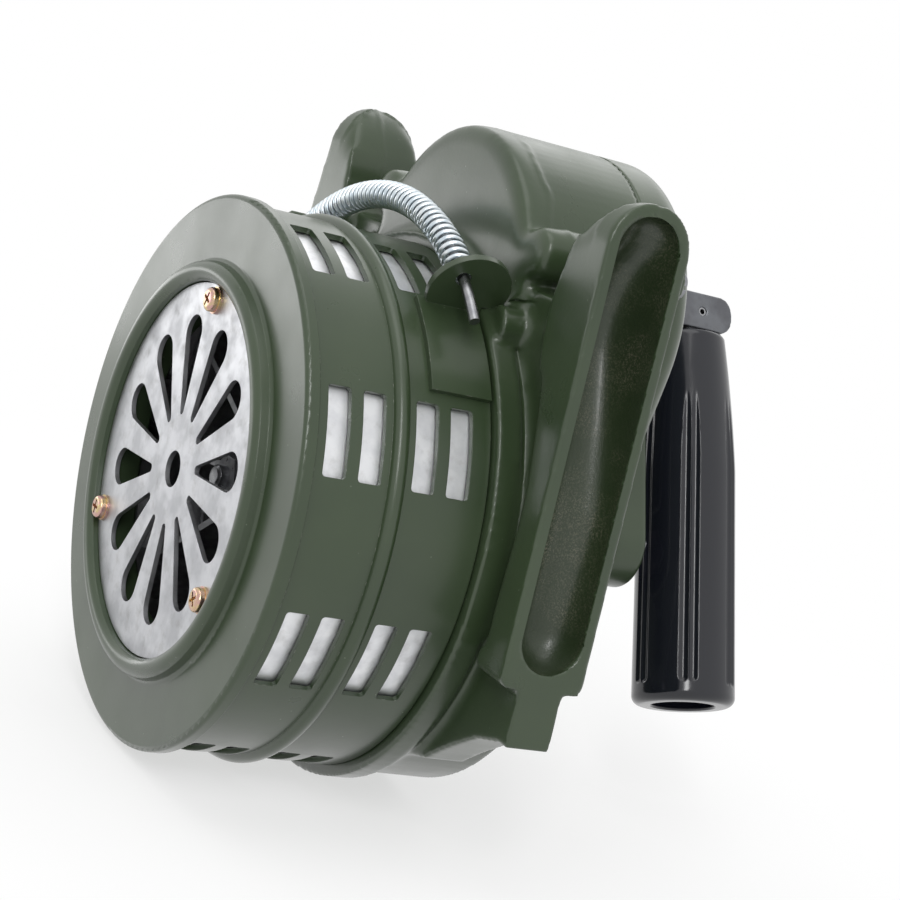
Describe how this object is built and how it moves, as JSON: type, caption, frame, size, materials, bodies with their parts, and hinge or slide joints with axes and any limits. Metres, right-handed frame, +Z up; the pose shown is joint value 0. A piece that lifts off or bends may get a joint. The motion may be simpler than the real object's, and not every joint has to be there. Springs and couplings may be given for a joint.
{
  "type": "hand crank siren",
  "caption": "Hand cranked siren: ported drum with a sprung shutter ring, fan rotor behind a petal guard, side handles, gearbox and folding crank.",
  "frame": {"origin": "centre of the bounding box at the level of the lowest point, with the drum axis level and above it", "axes": "+Y along the drum axis from the intake to the crank, +Z up towards the gearbox lobe, +X to the right seen from the front"},
  "size_m": [0.2028, 0.2007, 0.198],
  "materials": {
    "green_paint": "semi-gloss army green paint on cast aluminium",
    "bright_sheet": "bright plated sheet, lightly soiled",
    "bare_aluminium": "turned bare metal",
    "yellow_zinc": "yellow passivated steel",
    "bright_zinc": "bright zinc plated wire",
    "steel": "machined steel",
    "bronze": "bearing bronze",
    "cast_grey": "satin grey casting",
    "black_plastic": "glossy black moulding"
  },
  "bodies": {
    "housing": {"front_cover": "green_paint", "guard_plate": "bright_sheet", "guard_washers": "yellow_zinc", "guard_screws": "yellow_zinc", "stator_ring": "bare_aluminium", "spring_rod": "steel", "rod_nut": "steel", "return_spring": "bright_zinc", "rear_casting": "green_paint", "handle_right": "green_paint", "handle_left": "green_paint", "gearbox_cover": "green_paint", "cover_screws": "steel", "bearing_outer_rings": "steel", "idler_stud": "steel", "idler_washer": "steel", "crank_idler_stud": "steel", "countershaft_bushes": "bronze", "crank_bushes": "bronze"},
    "shutter": {"shutter_ring": "green_paint", "shutter_lever": "green_paint", "lever_rivets": "green_paint"},
    "rotor": {"siren_rotor": "bare_aluminium", "rotor_shaft": "steel", "rotor_spacers": "steel", "rotor_washer": "steel", "rotor_nut": "steel", "bearing_inner_rings": "steel", "rotor_pinion": "steel"},
    "idler_cluster": {"second_gear": "steel", "second_pinion": "steel"},
    "countershaft_group": {"countershaft": "steel", "first_gear": "steel", "first_pinion": "steel"},
    "crank_idler_gear": {"crank_idler": "steel"},
    "crank": {"crank_shaft": "steel", "crank_gear": "steel", "crank_arm": "green_paint", "crank_nut": "steel", "hinge_pin": "steel"},
    "grip_link": {"folding_link": "cast_grey", "roll_pin": "steel", "grip_spindle": "steel", "grip_screw": "steel"},
    "grip_sleeve": {"grip": "black_plastic"}
  },
  "joints": [
    {"name": "rotor_spin", "type": "hinge", "parent": "housing", "child": "rotor", "pos_m": [0, -0.03575, 0.0815], "axis": [0, 1, 0], "continuous": true},
    {"name": "idler_spin", "type": "hinge", "parent": "housing", "child": "idler_cluster", "pos_m": [0.0221, -0.01075, 0.10465], "axis": [0, 1, 0], "continuous": true},
    {"name": "countershaft_spin", "type": "hinge", "parent": "housing", "child": "countershaft_group", "pos_m": [0, 0.00425, 0.1495], "axis": [0, 1, 0], "continuous": true},
    {"name": "crank_idler_spin", "type": "hinge", "parent": "housing", "child": "crank_idler_gear", "pos_m": [-0.00878, 0.01425, 0.12716], "axis": [0, 1, 0], "continuous": true},
    {"name": "crank_spin", "type": "hinge", "parent": "housing", "child": "crank", "pos_m": [0, 0.03425, 0.0815], "axis": [0, 1, 0], "continuous": true},
    {"name": "shutter_turn", "type": "hinge", "parent": "housing", "child": "shutter", "pos_m": [0, -0.06575, 0.0815], "axis": [0, -1, 0], "range_deg": [0, 22.5], "stiffness_Nm_per_rad": 0.2, "springref_deg": -20.05, "deforming": ["return_spring"]},
    {"name": "grip_fold", "type": "hinge", "parent": "crank", "child": "grip_link", "pos_m": [-0.03691, 0.06645, 0.15394], "axis": [0.891, 0, 0.454], "range_deg": [0, 90]},
    {"name": "grip_spin", "type": "hinge", "parent": "grip_link", "child": "grip_sleeve", "pos_m": [-0.03691, 0.08385, 0.15394], "axis": [0.454, 0, -0.891], "continuous": true}
  ],
  "couplings": [
    {"joint": "idler_spin", "follows": "rotor_spin", "ratio": -0.33333},
    {"joint": "countershaft_spin", "follows": "rotor_spin", "ratio": 0.083333},
    {"joint": "crank_idler_spin", "follows": "rotor_spin", "ratio": -0.05},
    {"joint": "crank_spin", "follows": "rotor_spin", "ratio": 0.02381}
  ]
}
